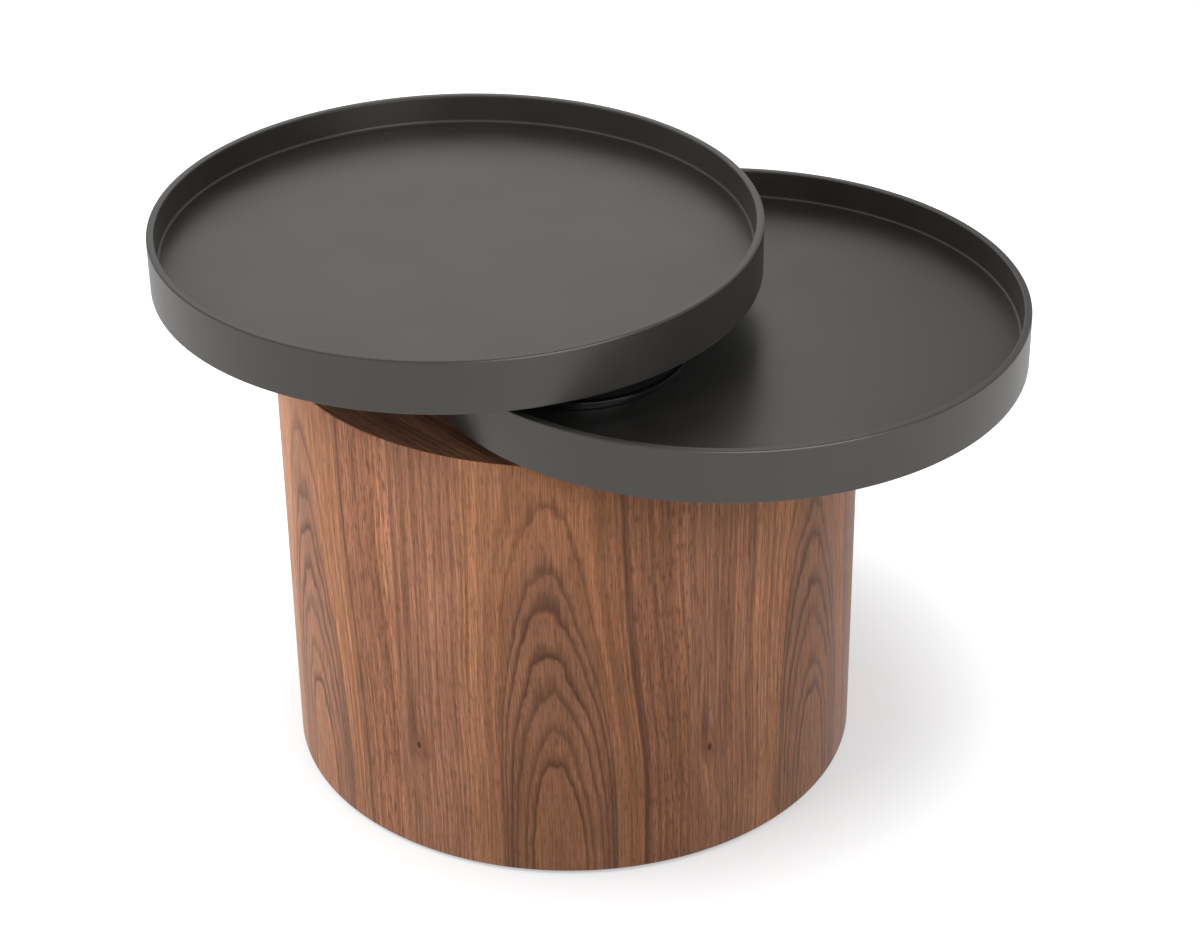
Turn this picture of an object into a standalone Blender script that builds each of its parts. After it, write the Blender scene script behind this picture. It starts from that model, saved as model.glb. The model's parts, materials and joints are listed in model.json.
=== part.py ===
"""Swivel top end table: a walnut drum carrying two round trays that swing on one off-centre pivot.

Metres, +Z up. The origin is on the floor, on the drum's axis, and -Y is the front.
Each piece is one named object. What turns hangs from an empty on the pivot's axis.
"""
import math

import bmesh
import bpy

# Drum: a bent plywood shell, veneered, round a frame of formers and uprights
DRUM_RADIUS = 0.250
DRUM_HEIGHT = 0.397
SHELL_WALL = 0.012
VENEER_LIP = 0.0015
TOP_PANEL_THICK = 0.006
FORMER_THICK = 0.018
FORMER_WIDTH = 0.045
UPRIGHT_COUNT = 4
UPRIGHT_WIDTH = 0.040
UPRIGHT_DEPTH = 0.028
PLINTH_THICK = 0.018
PLINTH_PROUD = 0.003
DRUM_EDGE = 0.0005

# Trays: two alike, each a floor disc inside a bent rim, closing over the drum with a small overhang
TRAY_OVERHANG = 0.0025
RIM_HEIGHT = 0.0455
RIM_WALL = 0.0065
RIM_EDGE = 0.0008
FLOOR_THICK = 0.020
TRAY_GAP = 0.013

# Pivot, as near a tray's rim as leaves this much floor round its bearing, and each tray's turn from closed
PIVOT_EDGE = 0.0166
LOWER_OPEN = math.radians(-66.0)
UPPER_OPEN = math.radians(42.0)

# Ring bearings: two alike, balls in a cage between two vee races
BEARING_HEIGHT = 0.013
BALL_CIRCLE = 0.076
BALL_RADIUS = 0.0025
BALL_COUNT = 10
BALL_CLEAR = 0.0004
RACE_WALL = 0.0015
CAGE_THICK = 0.0012
CAGE_HEIGHT = 0.003
CAGE_CLEAR = 0.0007
FLANGE_THICK = 0.003
FLANGE_MARGIN = 0.005
RING_RUN = 0.0008

# Spacer that lifts the upper tray over the lower tray's rim
SPACER_STEP = 0.0035
SPACER_SCREW_CIRCLE = 0.045

# Screws
SCREW_COUNT = 4
SHANK_RADIUS = 0.0016
HEAD_RADIUS = 0.0032
HEAD_HEIGHT = 0.002
HEAD_ROOM = 0.0004
TIP_COVER = 0.006
TIP_ROOM = 0.001
HEAD_SINK = 0.001
PLINTH_SCREW_TURN = math.radians(22.5)
RING_SCREW_TURN = math.radians(45.0)
ACCESS_RADIUS = 0.006

# Fits
SEAT_GAP = 0.0003
SCREW_CLEAR = 0.0003
CUT_OVERRUN = 0.001

# Facets round each kind of turned piece, and the angle that stays a sharp edge
DRUM_FACETS = 96
RING_FACETS = 48
BALL_FACETS = 8
BALL_BELTS = 5
SCREW_FACETS = 8
SHARP_ANGLE = math.radians(30.0)

# Levels up the table
SHELL_BOTTOM = PLINTH_PROUD
DRUM_TOP = SHELL_BOTTOM + DRUM_HEIGHT
LOWER_BOTTOM = DRUM_TOP + BEARING_HEIGHT
LOWER_FLOOR_TOP = LOWER_BOTTOM + FLOOR_THICK
SPACER_BOTTOM = LOWER_FLOOR_TOP + BEARING_HEIGHT
UPPER_BOTTOM = LOWER_BOTTOM + RIM_HEIGHT + TRAY_GAP
TOP_PANEL_BOTTOM = DRUM_TOP - TOP_PANEL_THICK
TOP_FORMER_BOTTOM = TOP_PANEL_BOTTOM - SEAT_GAP - FORMER_THICK
BOTTOM_FORMER_BOTTOM = PLINTH_THICK + SEAT_GAP
BOTTOM_FORMER_TOP = BOTTOM_FORMER_BOTTOM + FORMER_THICK
MID_FORMER_BOTTOM = (BOTTOM_FORMER_TOP + TOP_FORMER_BOTTOM - FORMER_THICK) / 2
MID_FORMER_TOP = MID_FORMER_BOTTOM + FORMER_THICK

# Radii that follow from the sizes above
SHELL_INSIDE = DRUM_RADIUS - SHELL_WALL
INSERT_RADIUS = SHELL_INSIDE - SEAT_GAP
FORMER_BORE = INSERT_RADIUS - FORMER_WIDTH
TRAY_RADIUS = DRUM_RADIUS + TRAY_OVERHANG
RIM_INSIDE = TRAY_RADIUS - RIM_WALL
VEE_DEPTH = (BALL_RADIUS + BALL_CLEAR) * math.sqrt(2)
LAND_GAP = CAGE_THICK / 2 + CAGE_CLEAR
INNER_LAND = BALL_CIRCLE - LAND_GAP
OUTER_LAND = BALL_CIRCLE + LAND_GAP
INNER_HUB = BALL_CIRCLE - VEE_DEPTH - RACE_WALL
OUTER_HUB = BALL_CIRCLE + VEE_DEPTH + RACE_WALL
INNER_SCREW_CIRCLE = INNER_HUB - HEAD_ROOM - HEAD_RADIUS
OUTER_SCREW_CIRCLE = OUTER_HUB + HEAD_ROOM + HEAD_RADIUS
INNER_RING_BORE = INNER_SCREW_CIRCLE - HEAD_RADIUS - FLANGE_MARGIN
OUTER_RING_RADIUS = OUTER_SCREW_CIRCLE + HEAD_RADIUS + FLANGE_MARGIN
SPACER_RADIUS = OUTER_RING_RADIUS - SPACER_STEP
PIVOT_OFFSET = RIM_INSIDE - PIVOT_EDGE - OUTER_RING_RADIUS
COUNTERBORE = HEAD_HEIGHT + HEAD_SINK


def clear_scene():
    for obj in list(bpy.data.objects):
        bpy.data.objects.remove(obj, do_unlink=True)


def linear(*levels):
    """A colour picked in sRGB, 0 to 255, as the linear colour that a shader takes."""
    shares = [level / 255 for level in levels]
    return [s / 12.92 if s <= 0.04045 else ((s + 0.055) / 1.055) ** 2.4 for s in shares] + [1.0]


def material(name, colour, roughness, metallic=0.0):
    made = bpy.data.materials.new(name)
    made.use_nodes = True
    shader = made.node_tree.nodes["Principled BSDF"]
    shader.inputs["Base Color"].default_value = colour
    shader.inputs["Roughness"].default_value = roughness
    shader.inputs["Metallic"].default_value = metallic
    made.diffuse_color = colour
    return made


def empty(name, parent=None, location=(0, 0, 0), turn=0.0):
    obj = bpy.data.objects.new(name, None)
    bpy.context.scene.collection.objects.link(obj)
    obj.parent = parent
    obj.location = location
    obj.rotation_euler = (0, 0, turn)
    return obj


def add_object(name, bm, surface, parent, location=(0, 0, 0), turn=0.0):
    """Closes off a bmesh as a smooth-shaded object with its faces pointing out."""
    bmesh.ops.remove_doubles(bm, verts=bm.verts, dist=1e-6)
    bmesh.ops.recalc_face_normals(bm, faces=bm.faces)
    mesh = bpy.data.meshes.new(name)
    bm.to_mesh(mesh)
    bm.free()
    mesh.shade_smooth()
    mesh.set_sharp_from_angle(angle=SHARP_ANGLE)
    obj = bpy.data.objects.new(name, mesh)
    bpy.context.scene.collection.objects.link(obj)
    obj.parent = parent
    obj.location = location
    obj.rotation_euler = (0, 0, turn)
    if surface:
        mesh.materials.append(surface)
    return obj


def spin_profile(bm, profile, facets, centre=(0, 0)):
    """Turns (radius, height) points about a vertical line. A disc's start and end on the line."""
    x, y = centre
    verts = [bm.verts.new((x + r, y, z)) for r, z in profile]
    pairs = list(zip(verts, verts[1:]))
    if profile[0][0] > 0:
        pairs.append((verts[-1], verts[0]))
    edges = [bm.edges.new(pair) for pair in pairs]
    bmesh.ops.spin(
        bm, geom=verts + edges, cent=(x, y, 0), axis=(0, 0, 1), angle=2 * math.pi, steps=facets
    )


def turned(name, profile, facets, surface, parent, location=(0, 0, 0)):
    bm = bmesh.new()
    spin_profile(bm, profile, facets)
    return add_object(name, bm, surface, parent, location)


def disc_profile(radius, low, high):
    return [(0, low), (radius, low), (radius, high), (0, high)]


def ring_profile(inside, outside, low, high):
    return [(inside, low), (outside, low), (outside, high), (inside, high)]


def cut(obj, profiles_at):
    """Takes turned shapes, given as (centre, profile), out of an object."""
    bm = bmesh.new()
    for centre, profile in profiles_at:
        spin_profile(bm, profile, SCREW_FACETS, centre)
    cutter = add_object(obj.name + "_cutter", bm, None, obj.parent, obj.location)
    cutter.hide_render = True
    cutter.display_type = "WIRE"
    difference = obj.modifiers.new("holes", "BOOLEAN")
    difference.operation = "DIFFERENCE"
    difference.solver = "EXACT"
    difference.object = cutter


def around(count, radius, turn):
    """Places evenly spaced on a circle, the first one at an angle from +X."""
    for n in range(count):
        angle = turn + n * 2 * math.pi / count
        yield radius * math.cos(angle), radius * math.sin(angle)


def screw_set(name, places, seat, tip, surface, parent):
    """Pan head screws whose heads sit on the level seat and whose points reach the level tip."""
    way = math.copysign(1, tip - seat)
    under = seat - way * SEAT_GAP
    top = under - way * HEAD_HEIGHT
    profile = [
        (0, tip),
        (SHANK_RADIUS, tip),
        (SHANK_RADIUS, under),
        (HEAD_RADIUS, under),
        (HEAD_RADIUS, top),
        (0, top),
    ]
    for number, (x, y) in enumerate(places, 1):
        turned(f"{name}_{number}", profile, SCREW_FACETS, surface, parent, (x, y, 0))


def screw_holes(places, seat, tip):
    """Plain holes for the screws of a set, from over the seat to past the tip."""
    way = math.copysign(1, tip - seat)
    bore = disc_profile(SHANK_RADIUS + SCREW_CLEAR, seat - way * CUT_OVERRUN, tip + way * TIP_ROOM)
    return [(place, bore) for place in places]


def sunk_holes(places, face, seat, tip):
    """Holes with a wider mouth at a face, deep enough to sink the heads of the screws."""
    way = math.copysign(1, tip - seat)
    mouth = face - way * CUT_OVERRUN
    wide = HEAD_RADIUS + HEAD_ROOM
    narrow = SHANK_RADIUS + SCREW_CLEAR
    end = tip + way * TIP_ROOM
    profile = [(0, mouth), (wide, mouth), (wide, seat), (narrow, seat), (narrow, end), (0, end)]
    return [(place, profile) for place in places]


def access_hole(place, low, high):
    """A hole that lets a driver through to the screws of the ring above."""
    return [(place, disc_profile(ACCESS_RADIUS, low - CUT_OVERRUN, high + CUT_OVERRUN))]


def from_pivot(holes):
    """Holes given from the pivot, as a disc has them whose centre is one pivot offset behind it."""
    return [((x, y - PIVOT_OFFSET), profile) for (x, y), profile in holes]


def drum(looks, root, axis):
    """The fixed base. Its top takes the lower bearing's inner ring at the pivot."""
    rebate = DRUM_RADIUS - VENEER_LIP
    shell = [
        (SHELL_INSIDE, SHELL_BOTTOM),
        (DRUM_RADIUS - DRUM_EDGE, SHELL_BOTTOM),
        (DRUM_RADIUS, SHELL_BOTTOM + DRUM_EDGE),
        (DRUM_RADIUS, DRUM_TOP - DRUM_EDGE),
        (DRUM_RADIUS - DRUM_EDGE, DRUM_TOP),
        (rebate, DRUM_TOP),
        (rebate, TOP_PANEL_BOTTOM - SEAT_GAP),
        (SHELL_INSIDE, TOP_PANEL_BOTTOM - SEAT_GAP),
    ]
    turned("drum_shell", shell, DRUM_FACETS, looks["walnut_veneer"], root)

    ring_places = list(around(SCREW_COUNT, INNER_SCREW_CIRCLE, RING_SCREW_TURN))
    ring_seat = DRUM_TOP + SEAT_GAP + FLANGE_THICK
    ring_tip = TOP_FORMER_BOTTOM + TIP_COVER
    ring_holes = screw_holes(ring_places, ring_seat, ring_tip)
    cut(inner_ring("lower_inner_ring", DRUM_TOP, looks["black_steel"], axis), ring_holes)
    screw_set("lower_inner_screw", ring_places, ring_seat, ring_tip, looks["zinc_steel"], axis)

    holes = ring_holes + access_hole((0, OUTER_SCREW_CIRCLE), TOP_FORMER_BOTTOM, DRUM_TOP)
    top = disc_profile(rebate - SEAT_GAP, TOP_PANEL_BOTTOM, DRUM_TOP)
    cut(turned("drum_top_panel", top, DRUM_FACETS, looks["walnut_veneer"], root), from_pivot(holes))
    top_former = disc_profile(INSERT_RADIUS, TOP_FORMER_BOTTOM, TOP_FORMER_BOTTOM + FORMER_THICK)
    cut(turned("top_former", top_former, DRUM_FACETS, looks["plywood"], root), from_pivot(holes))

    mid_former = ring_profile(FORMER_BORE, INSERT_RADIUS, MID_FORMER_BOTTOM, MID_FORMER_TOP)
    turned("mid_former", mid_former, DRUM_FACETS, looks["plywood"], root)

    former_middle = INSERT_RADIUS - FORMER_WIDTH / 2
    plinth_places = list(around(SCREW_COUNT, former_middle, PLINTH_SCREW_TURN))
    plinth_tip = BOTTOM_FORMER_TOP - TIP_COVER
    holes = sunk_holes(plinth_places, 0, COUNTERBORE, plinth_tip)
    bottom_former = ring_profile(FORMER_BORE, INSERT_RADIUS, BOTTOM_FORMER_BOTTOM, BOTTOM_FORMER_TOP)
    cut(turned("bottom_former", bottom_former, DRUM_FACETS, looks["plywood"], root), holes)
    plinth = disc_profile(INSERT_RADIUS, 0, PLINTH_THICK)
    cut(turned("base_plinth", plinth, DRUM_FACETS, looks["black_board"], root), holes)
    screw_set("plinth_screw", plinth_places, COUNTERBORE, plinth_tip, looks["zinc_steel"], root)

    uprights("lower_upright", BOTTOM_FORMER_TOP, MID_FORMER_BOTTOM, former_middle, looks, root)
    uprights("upper_upright", MID_FORMER_TOP, TOP_FORMER_BOTTOM, former_middle, looks, root)


def uprights(name, low, high, radius, looks, root):
    """Square posts that hold two formers apart, each with a broad face towards the shell."""
    height = high - low - 2 * SEAT_GAP
    for number in range(UPRIGHT_COUNT):
        turn = 2 * math.pi * (number + 0.5) / UPRIGHT_COUNT
        bm = bmesh.new()
        bmesh.ops.create_cube(bm, size=1.0)
        bmesh.ops.scale(bm, vec=(UPRIGHT_DEPTH, UPRIGHT_WIDTH, height), verts=bm.verts)
        place = (radius * math.cos(turn), radius * math.sin(turn), (low + high) / 2)
        add_object(f"{name}_{number + 1}", bm, looks["plywood"], root, place, turn)


def inner_ring(name, bottom, surface, parent):
    """The bearing's inner race, with a foot flange inside it that is screwed down."""
    low = bottom + SEAT_GAP
    high = bottom + BEARING_HEIGHT - RING_RUN
    middle = bottom + BEARING_HEIGHT / 2
    mouth = VEE_DEPTH - LAND_GAP
    profile = [
        (INNER_RING_BORE, low),
        (INNER_LAND, low),
        (INNER_LAND, middle - mouth),
        (BALL_CIRCLE - VEE_DEPTH, middle),
        (INNER_LAND, middle + mouth),
        (INNER_LAND, high),
        (INNER_HUB, high),
        (INNER_HUB, low + FLANGE_THICK),
        (INNER_RING_BORE, low + FLANGE_THICK),
    ]
    return turned(name, profile, RING_FACETS, surface, parent)


def outer_ring(name, bottom, surface, parent):
    """The bearing's outer race, with a flange round its top that is screwed up into what it carries."""
    low = bottom + RING_RUN
    high = bottom + BEARING_HEIGHT - SEAT_GAP
    middle = bottom + BEARING_HEIGHT / 2
    mouth = VEE_DEPTH - LAND_GAP
    profile = [
        (OUTER_LAND, low),
        (OUTER_HUB, low),
        (OUTER_HUB, high - FLANGE_THICK),
        (OUTER_RING_RADIUS, high - FLANGE_THICK),
        (OUTER_RING_RADIUS, high),
        (OUTER_LAND, high),
        (OUTER_LAND, middle + mouth),
        (BALL_CIRCLE + VEE_DEPTH, middle),
        (OUTER_LAND, middle - mouth),
    ]
    return turned(name, profile, RING_FACETS, surface, parent)


def ball_cage(name, bottom, surface, parent):
    """A thin hoop joined to the balls that it keeps apart."""
    middle = bottom + BEARING_HEIGHT / 2
    hoop = ring_profile(
        BALL_CIRCLE - CAGE_THICK / 2,
        BALL_CIRCLE + CAGE_THICK / 2,
        middle - CAGE_HEIGHT / 2,
        middle + CAGE_HEIGHT / 2,
    )
    obj = turned(name, hoop, RING_FACETS, surface, parent)
    bm = bmesh.new()
    for x, y in around(BALL_COUNT, BALL_CIRCLE, math.pi / RING_FACETS):
        ball = bmesh.ops.create_uvsphere(
            bm, u_segments=BALL_FACETS, v_segments=BALL_BELTS, radius=BALL_RADIUS
        )
        bmesh.ops.translate(bm, vec=(x, y, middle), verts=ball["verts"])
    balls = add_object(name + "_cutter", bm, None, parent)
    balls.hide_render = True
    balls.display_type = "WIRE"
    union = obj.modifiers.new("balls", "BOOLEAN")
    union.operation = "UNION"
    union.solver = "EXACT"
    union.object = balls


def tray_rim(name, bottom, surface, parent):
    high = bottom + RIM_HEIGHT
    profile = [
        (RIM_INSIDE, bottom),
        (TRAY_RADIUS - RIM_EDGE, bottom),
        (TRAY_RADIUS, bottom + RIM_EDGE),
        (TRAY_RADIUS, high - RIM_EDGE),
        (TRAY_RADIUS - RIM_EDGE, high),
        (RIM_INSIDE + RIM_EDGE, high),
        (RIM_INSIDE, high - RIM_EDGE),
    ]
    turned(name, profile, DRUM_FACETS, surface, parent, (0, PIVOT_OFFSET, 0))


def tray_floor(name, bottom, holes, surface, parent):
    """The floor disc, whose holes are given from the pivot."""
    profile = disc_profile(RIM_INSIDE - SEAT_GAP, bottom, bottom + FLOOR_THICK)
    floor = turned(name, profile, DRUM_FACETS, surface, parent, (0, PIVOT_OFFSET, 0))
    cut(floor, from_pivot(holes))


def lower_tray(looks, parent):
    """The tray that turns on the drum. The upper bearing's inner ring is screwed to its floor."""
    outer_places = list(around(SCREW_COUNT, OUTER_SCREW_CIRCLE, RING_SCREW_TURN))
    outer_seat = LOWER_BOTTOM - SEAT_GAP - FLANGE_THICK
    outer_tip = LOWER_FLOOR_TOP - TIP_COVER
    outer_holes = screw_holes(outer_places, outer_seat, outer_tip)
    cut(outer_ring("lower_outer_ring", DRUM_TOP, looks["black_steel"], parent), outer_holes)
    screw_set("lower_outer_screw", outer_places, outer_seat, outer_tip, looks["zinc_steel"], parent)

    inner_places = list(around(SCREW_COUNT, INNER_SCREW_CIRCLE, RING_SCREW_TURN))
    inner_seat = LOWER_FLOOR_TOP + SEAT_GAP + FLANGE_THICK
    inner_tip = LOWER_BOTTOM + TIP_COVER
    inner_holes = screw_holes(inner_places, inner_seat, inner_tip)
    cut(inner_ring("upper_inner_ring", LOWER_FLOOR_TOP, looks["black_steel"], parent), inner_holes)
    screw_set("upper_inner_screw", inner_places, inner_seat, inner_tip, looks["zinc_steel"], parent)

    holes = outer_holes + inner_holes
    holes += access_hole((0, -OUTER_SCREW_CIRCLE), LOWER_BOTTOM, LOWER_FLOOR_TOP)
    tray_floor("lower_tray_floor", LOWER_BOTTOM, holes, looks["charcoal_lacquer"], parent)
    tray_rim("lower_tray_rim", LOWER_BOTTOM, looks["charcoal_lacquer"], parent)


def upper_tray(looks, parent):
    """The tray that turns on the lower one, lifted over its rim by the spacer."""
    outer_places = list(around(SCREW_COUNT, OUTER_SCREW_CIRCLE, RING_SCREW_TURN))
    outer_seat = SPACER_BOTTOM - SEAT_GAP - FLANGE_THICK
    outer_tip = UPPER_BOTTOM - SEAT_GAP - TIP_COVER
    outer_holes = screw_holes(outer_places, outer_seat, outer_tip)
    cut(outer_ring("upper_outer_ring", LOWER_FLOOR_TOP, looks["black_steel"], parent), outer_holes)
    screw_set("upper_outer_screw", outer_places, outer_seat, outer_tip, looks["zinc_steel"], parent)

    spacer_places = list(around(SCREW_COUNT, SPACER_SCREW_CIRCLE, RING_SCREW_TURN))
    spacer_seat = SPACER_BOTTOM + COUNTERBORE
    spacer_tip = UPPER_BOTTOM + FLOOR_THICK - TIP_COVER
    spacer_holes = sunk_holes(spacer_places, SPACER_BOTTOM, spacer_seat, spacer_tip)
    spacer = disc_profile(SPACER_RADIUS, SPACER_BOTTOM, UPPER_BOTTOM - SEAT_GAP)
    block = turned("spacer_block", spacer, RING_FACETS, looks["black_board"], parent)
    cut(block, spacer_holes + outer_holes)
    screw_set("spacer_screw", spacer_places, spacer_seat, spacer_tip, looks["zinc_steel"], parent)

    tray_floor("upper_tray_floor", UPPER_BOTTOM, spacer_holes, looks["charcoal_lacquer"], parent)
    tray_rim("upper_tray_rim", UPPER_BOTTOM, looks["charcoal_lacquer"], parent)


def main():
    clear_scene()
    looks = {
        "walnut_veneer": material("walnut_veneer", linear(140, 99, 76), 0.42),
        "plywood": material("plywood", linear(196, 168, 130), 0.7),
        "black_board": material("black_board", linear(28, 28, 28), 0.6),
        "charcoal_lacquer": material("charcoal_lacquer", linear(88, 86, 83), 0.5),
        "black_steel": material("black_steel", linear(24, 24, 25), 0.3, 0.6),
        "cage_nylon": material("cage_nylon", linear(150, 150, 148), 0.45),
        "zinc_steel": material("zinc_steel", linear(170, 170, 168), 0.35, 1.0),
    }
    root = empty("table")
    axis = empty("pivot_axis", root, (0, -PIVOT_OFFSET, 0))
    drum(looks, root, axis)

    ball_cage("lower_ball_cage", DRUM_TOP, looks["cage_nylon"], empty("lower_cage_turn", axis))
    lower_turn = empty("lower_tray_turn", axis, turn=LOWER_OPEN)
    lower_tray(looks, lower_turn)

    cage_turn = empty("upper_cage_turn", lower_turn)
    ball_cage("upper_ball_cage", LOWER_FLOOR_TOP, looks["cage_nylon"], cage_turn)
    upper_tray(looks, empty("upper_tray_turn", lower_turn, turn=UPPER_OPEN - LOWER_OPEN))


main()
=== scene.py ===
# %% [markdown]
# # A swivel top end table
# The table is a walnut drum with two charcoal trays on top. Both trays turn on one upright pivot, so
# they can lie in line over the drum or swing out to the sides, as they do here. The solid model already
# holds every piece in its place. This lesson dresses it: it makes finer versions of the pieces that
# show, gives each piece a finish made of nodes, and sets up a camera, lamps and a floor.

# %% Load the solid model
import json
import math

import bmesh
import bpy
from mathutils import Matrix, Vector


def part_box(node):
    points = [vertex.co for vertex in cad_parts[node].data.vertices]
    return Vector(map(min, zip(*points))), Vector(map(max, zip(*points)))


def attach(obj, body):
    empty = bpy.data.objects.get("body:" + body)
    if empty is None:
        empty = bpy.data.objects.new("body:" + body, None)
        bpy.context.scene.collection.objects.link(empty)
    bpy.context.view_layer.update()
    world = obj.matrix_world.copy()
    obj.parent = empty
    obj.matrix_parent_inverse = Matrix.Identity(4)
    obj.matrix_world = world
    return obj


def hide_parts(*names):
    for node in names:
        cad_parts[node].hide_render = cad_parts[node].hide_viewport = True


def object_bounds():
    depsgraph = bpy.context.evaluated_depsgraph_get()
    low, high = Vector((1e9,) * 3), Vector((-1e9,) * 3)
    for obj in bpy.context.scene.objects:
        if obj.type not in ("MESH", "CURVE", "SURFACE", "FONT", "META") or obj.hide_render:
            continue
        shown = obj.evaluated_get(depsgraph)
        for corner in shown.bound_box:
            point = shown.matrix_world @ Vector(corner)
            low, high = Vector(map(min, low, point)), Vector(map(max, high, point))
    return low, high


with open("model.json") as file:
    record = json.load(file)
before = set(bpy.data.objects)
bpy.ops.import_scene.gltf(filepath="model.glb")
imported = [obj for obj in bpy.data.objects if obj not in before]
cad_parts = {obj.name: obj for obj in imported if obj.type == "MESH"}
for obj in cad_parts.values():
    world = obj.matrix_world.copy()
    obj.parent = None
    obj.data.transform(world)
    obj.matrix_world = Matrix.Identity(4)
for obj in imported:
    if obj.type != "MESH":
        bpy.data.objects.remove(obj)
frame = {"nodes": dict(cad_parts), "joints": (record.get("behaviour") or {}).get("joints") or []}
cad_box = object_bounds()

# %% [markdown]
# ## Sizes
# A piece that stands for a solid has to sit just where the solid is, so the main sizes are read from the
# solids' boxes. Only what a box can't tell, such as the size of an eased edge, is written down, in
# metres.

# %% Read the main sizes
def middle(name):
    """The upright line through the middle of a round solid, as a point on the floor."""
    low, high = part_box(name)
    return Vector(((low.x + high.x) / 2, (low.y + high.y) / 2, 0))


def radius_of(name):
    low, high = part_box(name)
    return (high.y - low.y) / 2


def levels(name):
    """The heights of a solid's underside and top."""
    low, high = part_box(name)
    return low.z, high.z


drum_radius = radius_of("drum_shell")
drum_foot, drum_top = levels("drum_shell")
tray_radius = radius_of("upper_tray_rim")
pivot = Vector((*frame["joints"][0]["pos_m"][:2], 0))
print(f"drum {2000 * drum_radius:.0f} mm across and {1000 * (drum_top - drum_foot):.0f} mm tall")
print(f"trays {2000 * tray_radius:.0f} mm across")
print(f"pivot {-1000 * pivot.y:.0f} mm in front of the drum's middle")

# %% [markdown]
# ## Camera
# The table was photographed from the front and above with a long lens, which keeps the rims' ovals calm.
# A camera can be aimed with a constraint, but three plain turns are easier to read: it is tipped down,
# leant a hair to one side, and headed a little to the right.

# %% Place the camera
CAMERA_PLACE = Vector((-0.0593, -2.1843, 1.5436))
HEADING = 0.03896
DIP = 0.5365
LEAN = -0.0124
SENSOR_MM = 36.0
LENS_MM = 86.73


def add_object(name, data):
    """Makes an object of a mesh, a lamp or a camera, and puts it in the scene."""
    made = bpy.data.objects.new(name, data)
    bpy.context.scene.collection.objects.link(made)
    return made


camera = add_object("camera", bpy.data.cameras.new("camera"))
camera.data.sensor_fit = "HORIZONTAL"
camera.data.sensor_width = SENSOR_MM
camera.data.lens = LENS_MM
aim = (
    Matrix.Rotation(-HEADING, 4, "Z")
    @ Matrix.Rotation(math.pi / 2 - DIP, 4, "X")
    @ Matrix.Rotation(LEAN, 4, "Z")
)
camera.matrix_world = Matrix.Translation(CAMERA_PLACE) @ aim
bpy.context.scene.camera = camera
bpy.context.scene.view_settings.view_transform = "Standard"
print(f"camera {CAMERA_PLACE.length:.2f} m from the drum's foot, {math.degrees(DIP):.0f} degrees down")

# %% [markdown]
# ## Nodes in one line
# Every finish below is a small sum of nodes. Making each node takes three or four lines, so a helper adds
# one, sets it up and feeds its inputs, either with another node's output or with a plain number.

# %% Helpers for nodes
def feed(tree, socket, value):
    """Sets a socket to a plain value, or joins it to an output or to a node's first output."""
    if isinstance(value, bpy.types.Node):
        value = value.outputs[0]
    if isinstance(value, bpy.types.NodeSocket):
        tree.links.new(value, socket)
    else:
        socket.default_value = value


def node(tree, kind, feeds=(), **settings):
    """Adds a node. Its inputs are fed in order, or by name where a dict is given."""
    made = tree.nodes.new("ShaderNode" + kind)
    for name, value in settings.items():
        setattr(made, name, value)
    for key, value in feeds.items() if isinstance(feeds, dict) else enumerate(feeds):
        feed(tree, made.inputs[key], value)
    return made


def calc(tree, operation, *values):
    """One step of arithmetic, such as ADD or MULTIPLY."""
    return node(tree, "Math", values, operation=operation)


def band(tree, value, low, high, to_low=0.0, to_high=1.0):
    """Goes smoothly from to_low to to_high while a value goes from low to high."""
    feeds = (value, low, high, to_low, to_high)
    return node(tree, "MapRange", feeds, interpolation_type="SMOOTHSTEP")


def length(tree, *sides):
    """How long an arrow with these sides is."""
    arrow = node(tree, "CombineXYZ", sides)
    return node(tree, "VectorMath", (arrow,), operation="LENGTH").outputs["Value"]


def place_on(tree):
    """Where a point lies, in the object's own space, which is the whole table's."""
    return node(tree, "TexCoord").outputs["Object"]


def sides_of(tree, place):
    """The x, y and z of a place."""
    return node(tree, "SeparateXYZ", (place,)).outputs


print("node helpers ready")

# %% [markdown]
# ## Floor and light
# The table stands on white paper, lit so brightly that the paper turns pure white and only the shade
# under the trays is left. More lamps would do that too, but they would bleach the table. So the floor is
# pale, and what the camera and the gloss on the table see of it, and of the sky, is lifted to white. On
# the paper that lift is a glow, painted light. It grows away from the table, where the lamps no longer
# reach, and is weakest in a ring close round the table. That ring is painted shade, added to the lamps'
# real shadows.

# %% Floor and sky
PAPER_HALF_SIDE = 12.0
PAPER_DROP = 0.0002
PAPER_SEEN = 0.42
PAPER_BOUNCE = 0.03
PAPER_LIFT = 0.43
SHADE_ASIDE = 0.03
SHADE_EDGE = (0.22, 0.50)
SKY_LIGHT = 0.08
SKY_SHEEN = 0.55


def ray_shares(tree):
    """Two shares, each 1 or 0: for what the camera sees, and for what reflections show."""
    path = node(tree, "LightPath").outputs
    mirrored = calc(tree, "MAXIMUM", path["Is Glossy Ray"], path["Is Transmission Ray"])
    return path["Is Camera Ray"], mirrored


def mesh_of(name, bm):
    """Makes a mesh of a bmesh, which is then done with."""
    mesh = bpy.data.meshes.new(name)
    bm.to_mesh(mesh)
    bm.free()
    return mesh


bm = bmesh.new()
bmesh.ops.create_grid(bm, x_segments=1, y_segments=1, size=PAPER_HALF_SIDE)
bmesh.ops.translate(bm, vec=(0, 0, cad_box[0].z - PAPER_DROP), verts=bm.verts)
paper_mesh = mesh_of("paper", bm)
paper = add_object("paper", paper_mesh)

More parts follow.
